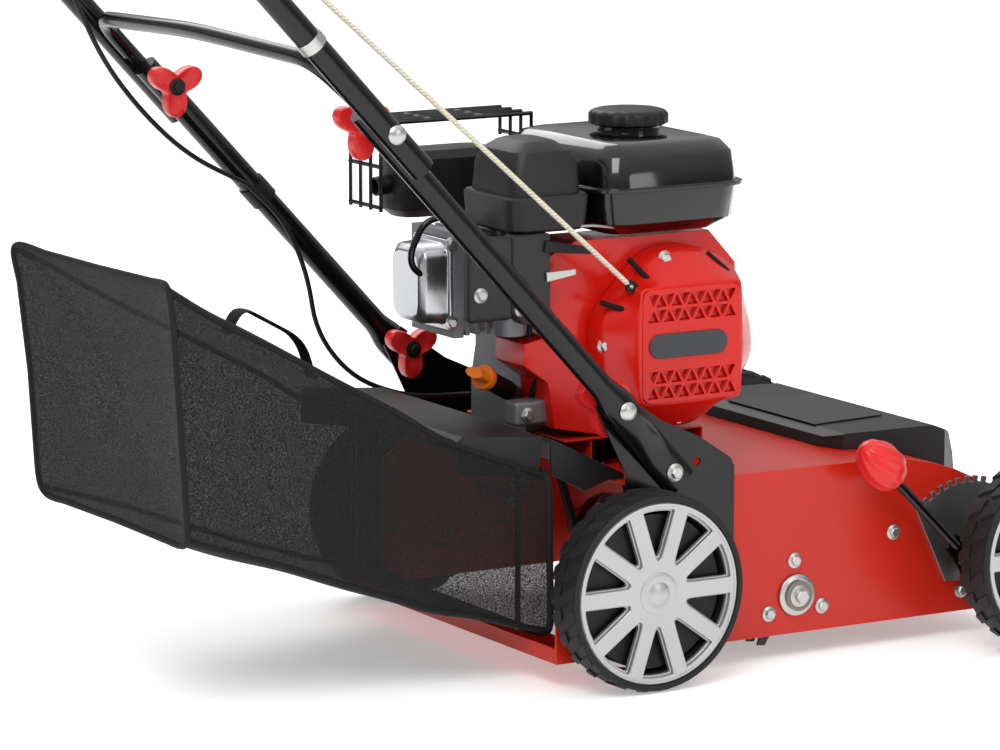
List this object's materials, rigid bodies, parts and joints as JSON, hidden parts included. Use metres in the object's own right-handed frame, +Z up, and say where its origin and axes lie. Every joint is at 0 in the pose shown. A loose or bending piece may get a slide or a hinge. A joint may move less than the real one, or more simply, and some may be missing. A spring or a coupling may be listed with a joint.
{
  "type": "walk-behind petrol lawn scarifier",
  "caption": "Walk-behind petrol lawn scarifier built like a push mower: red steel deck, horizontal-shaft engine, bladed reel, depth lever, folding handle and mesh bag.",
  "frame": {"origin": "on the ground under the centre of the whole machine", "axes": "+X forward, away from the person who pushes it; +Y to that person's left; +Z up"},
  "size_m": [1.2076, 0.654, 0.9748],
  "materials": {
    "deck_red": "gloss red enamel",
    "engine_red": "gloss red paint",
    "black_paint": "semi-gloss black powder coat",
    "tank_black": "gloss black enamel",
    "black_plastic": "fine moulded texture",
    "red_plastic": "moulded",
    "cast_alloy": "as cast",
    "zinc": "zinc plated",
    "chrome": "polished",
    "bare_steel": "machined",
    "cast_iron": "as cast",
    "tread": "matt rubber",
    "rim_silver": "silver painted",
    "foam": "soft foam",
    "belt_rubber": "matt",
    "bag_cloth": "woven mesh",
    "orange_plastic": "moulded",
    "rope_cloth": "braided"
  },
  "bodies": {
    "chassis": {"deck_top_sheet": "deck_red", "deck_side_right": "deck_red", "deck_side_left": "deck_red", "deck_rear_lip": "deck_red", "engine_mount": "deck_red", "front_hood": "black_plastic", "rear_guard": "black_plastic", "handle_bracket_right": "black_paint", "handle_bracket_left": "black_paint", "depth_quadrant": "black_paint", "reel_bearing_right": "zinc", "reel_bearing_left": "zinc", "belt_cover": "black_paint", "crankcase": "cast_alloy", "cylinder_head": "cast_alloy", "valve_cover": "chrome", "blower_housing": "engine_red", "recoil_cover": "engine_red", "fuel_tank": "tank_black", "air_cleaner": "black_plastic", "control_cover": "black_plastic", "carburettor": "cast_alloy", "muffler": "black_paint", "muffler_guard": "black_paint", "drive_belt": "belt_rubber", "starter_rope": "rope_cloth", "clutch_cable": "black_plastic"},
    "reel": {"reel": "bare_steel", "reel_pulley": "bare_steel"},
    "crank": {"crankshaft": "bare_steel", "flywheel": "cast_iron"},
    "idler": {"idler_arm": "bare_steel"},
    "depth_setting": {"depth_axle": "black_paint", "depth_lever": "black_paint", "depth_knob": "red_plastic"},
    "wheel_rear_right": {"tyre_rear_right": "tread", "rim_rear_right": "rim_silver"},
    "wheel_rear_left": {"tyre_rear_left": "tread", "rim_rear_left": "rim_silver"},
    "wheel_front_right": {"tyre_front_right": "tread", "rim_front_right": "rim_silver"},
    "wheel_front_left": {"tyre_front_left": "tread", "rim_front_left": "rim_silver"},
    "lower_handle": {"lower_handle_right": "black_paint", "lower_handle_left": "black_paint"},
    "upper_handle": {"upper_handle": "black_paint", "handle_grip": "foam"},
    "bail": {"bail_lever": "black_paint"},
    "fold_knob_right": {"fold_knob_right": "red_plastic"},
    "fold_knob_left": {"fold_knob_left": "red_plastic"},
    "clamp_knob_right": {"clamp_knob_right": "red_plastic"},
    "clamp_knob_left": {"clamp_knob_left": "red_plastic"},
    "starter": {"starter_grip": "black_plastic"},
    "flap": {"rear_flap": "black_plastic"},
    "bag": {"catcher_bag": "bag_cloth", "bag_frame": "black_paint"},
    "filler_cap": {"fuel_cap": "black_plastic"},
    "dipstick": {"oil_dipstick": "orange_plastic"},
    "choke": {"choke_lever": "black_plastic"},
    "throttle": {"throttle_lever": "zinc"}
  },
  "joints": [
    {"name": "rear_right_roll", "type": "hinge", "parent": "chassis", "child": "wheel_rear_right", "pos_m": [0.05379, -0.249, 0.1], "axis": [0, 1, 0], "continuous": true},
    {"name": "rear_left_roll", "type": "hinge", "parent": "chassis", "child": "wheel_rear_left", "pos_m": [0.05379, 0.249, 0.1], "axis": [0, 1, 0], "continuous": true},
    {"name": "depth_turn", "type": "hinge", "parent": "chassis", "child": "depth_setting", "pos_m": [0.46579, 0, 0.076], "axis": [0, 1, 0], "range_deg": [0, 45]},
    {"name": "front_right_roll", "type": "hinge", "parent": "depth_setting", "child": "wheel_front_right", "pos_m": [0.50379, -0.303, 0.1], "axis": [0, 1, 0], "continuous": true},
    {"name": "front_left_roll", "type": "hinge", "parent": "depth_setting", "child": "wheel_front_left", "pos_m": [0.50379, 0.303, 0.1], "axis": [0, 1, 0], "continuous": true},
    {"name": "reel_turn", "type": "hinge", "parent": "chassis", "child": "reel", "pos_m": [0.25479, 0, 0.066], "axis": [0, 1, 0], "continuous": true},
    {"name": "crank_turn", "type": "hinge", "parent": "chassis", "child": "crank", "pos_m": [0.16779, 0, 0.323], "axis": [0, 1, 0], "continuous": true},
    {"name": "idler_turn", "type": "hinge", "parent": "chassis", "child": "idler", "pos_m": [0.12779, 0.149, 0.118], "axis": [0, 1, 0], "range_deg": [0, 10]},
    {"name": "lower_fold", "type": "hinge", "parent": "chassis", "child": "lower_handle", "pos_m": [0.10079, 0, 0.2091], "axis": [0, 1, 0], "range_deg": [0, 75], "deforming": ["starter_rope", "clutch_cable"]},
    {"name": "upper_fold", "type": "hinge", "parent": "lower_handle", "child": "upper_handle", "pos_m": [-0.23601, 0, 0.5711], "axis": [0, 1, 0], "range_deg": [0, 115], "deforming": ["starter_rope", "clutch_cable"]},
    {"name": "bail_squeeze", "type": "hinge", "parent": "upper_handle", "child": "bail", "pos_m": [-0.51186, 0, 0.86763], "axis": [0, 1, 0], "range_deg": [-8, 0], "stiffness_Nm_per_rad": 1.2, "springref_deg": 40.11},
    {"name": "fold_knob_right_turn", "type": "hinge", "parent": "lower_handle", "child": "fold_knob_right", "pos_m": [-0.23601, -0.228, 0.5711], "axis": [0, 1, 0], "continuous": true},
    {"name": "fold_knob_left_turn", "type": "hinge", "parent": "lower_handle", "child": "fold_knob_left", "pos_m": [-0.23601, 0.228, 0.5711], "axis": [0, 1, 0], "continuous": true},
    {"name": "clamp_knob_right_turn", "type": "hinge", "parent": "lower_handle", "child": "clamp_knob_right", "pos_m": [0.03609, -0.215, 0.2786], "axis": [0, 1, 0], "continuous": true},
    {"name": "clamp_knob_left_turn", "type": "hinge", "parent": "lower_handle", "child": "clamp_knob_left", "pos_m": [0.03609, 0.215, 0.2786], "axis": [0, 1, 0], "continuous": true},
    {"name": "starter_pull", "type": "slide", "parent": "upper_handle", "child": "starter", "axis": [-0.7708, -0.192, 0.6074], "range_m": [0, 0.4], "stiffness_N_per_m": 15, "springref_m": -0.3, "deforming": ["starter_rope"]},
    {"name": "flap_open", "type": "hinge", "parent": "chassis", "child": "flap", "pos_m": [-0.01221, 0, 0.242], "axis": [0, 1, 0], "range_deg": [0, 45]},
    {"name": "bag_unhook", "type": "slide", "parent": "chassis", "child": "bag", "axis": [-1, 0, 0], "range_m": [0, 0.45]},
    {"name": "cap_turn", "type": "hinge", "parent": "chassis", "child": "filler_cap", "pos_m": [0.17579, -0.014, 0.537], "axis": [0, 0, 1], "range_deg": [0, 90]},
    {"name": "dipstick_turn", "type": "hinge", "parent": "chassis", "child": "dipstick", "pos_m": [-0.00621, -0.05, 0.283], "axis": [-0.802, -0.4545, 0.3876], "continuous": true},
    {"name": "choke_turn", "type": "hinge", "parent": "chassis", "child": "choke", "pos_m": [0.01379, -0.118, 0.428], "axis": [0, 1, 0], "range_deg": [0, 15]},
    {"name": "throttle_turn", "type": "hinge", "parent": "chassis", "child": "throttle", "pos_m": [0.01579, -0.118, 0.397], "axis": [0, 1, 0], "range_deg": [0, 25]}
  ],
  "couplings": [
    {"joint": "crank_turn", "follows": "reel_turn", "ratio": 1.2143},
    {"joint": "idler_turn", "follows": "bail_squeeze", "ratio": -1.2}
  ]
}
